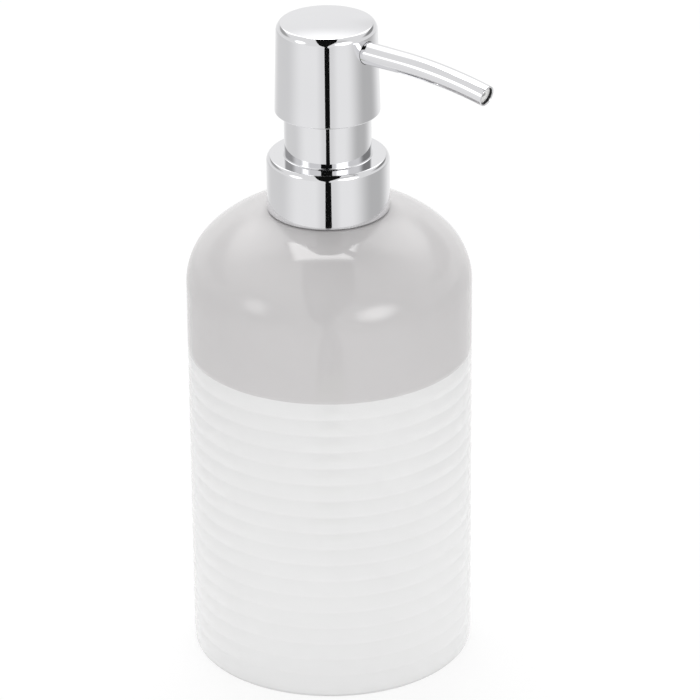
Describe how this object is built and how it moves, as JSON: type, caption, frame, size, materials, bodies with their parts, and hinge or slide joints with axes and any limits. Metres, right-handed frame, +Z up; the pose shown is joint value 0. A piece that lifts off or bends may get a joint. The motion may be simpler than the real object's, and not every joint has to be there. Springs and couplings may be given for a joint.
{
  "type": "soap dispenser",
  "caption": "Countertop soap dispenser: ribbed cylindrical ceramic bottle with a domed shoulder, chrome press pump and a thin curved spout.",
  "frame": {"origin": "centre of the bottle's flat base, on the surface that it stands on", "axes": "+Z up along the axis of the bottle and the pump, +X along the spout, away from the axis"},
  "size_m": [0.0886, 0.075, 0.1773],
  "materials": {
    "glazed_ceramic": "gloss",
    "chrome": "polished",
    "white_plastic": "satin",
    "natural_plastic": "satin",
    "seal_foam": "matte",
    "stainless_steel": "polished"
  },
  "bodies": {
    "bottle": {"ceramic_bottle": "glazed_ceramic", "neck_insert": "white_plastic"},
    "pump": {"pump_housing": "natural_plastic", "neck_gasket": "seal_foam", "guide_cap": "white_plastic", "ball_retainer": "natural_plastic", "dip_tube": "natural_plastic", "return_spring": "stainless_steel"},
    "closure": {"screw_closure": "white_plastic", "collar_shell": "chrome", "stem_sleeve": "chrome"},
    "stem": {"pump_stem": "natural_plastic", "valve_pin": "white_plastic"},
    "piston": {"piston": "natural_plastic"},
    "head": {"actuator_core": "white_plastic", "button_shell": "chrome", "spout_tube": "chrome"},
    "ball": {"inlet_ball": "stainless_steel"}
  },
  "joints": [
    {"name": "pump_lift", "type": "slide", "parent": "bottle", "child": "pump", "axis": [0, 0, 1], "range_m": [0, 0.13]},
    {"name": "closure_turn", "type": "hinge", "parent": "pump", "child": "closure", "pos_m": [0, 0, 0.129], "axis": [0, 0, 1], "range_deg": [0, 450]},
    {"name": "press", "type": "slide", "parent": "pump", "child": "stem", "axis": [0, 0, -1], "range_m": [0, 0.011], "stiffness_N_per_m": 800, "springref_m": -0.006, "deforming": ["return_spring"]},
    {"name": "head_swivel", "type": "hinge", "parent": "stem", "child": "head", "pos_m": [0, 0, 0.15849], "axis": [0, 0, 1], "continuous": true},
    {"name": "piston_lag", "type": "slide", "parent": "stem", "child": "piston", "axis": [0, 0, 1], "range_m": [0, 0.0008]},
    {"name": "ball_lift", "type": "slide", "parent": "pump", "child": "ball", "axis": [0, 0, 1], "range_m": [0, 0.0012]}
  ]
}
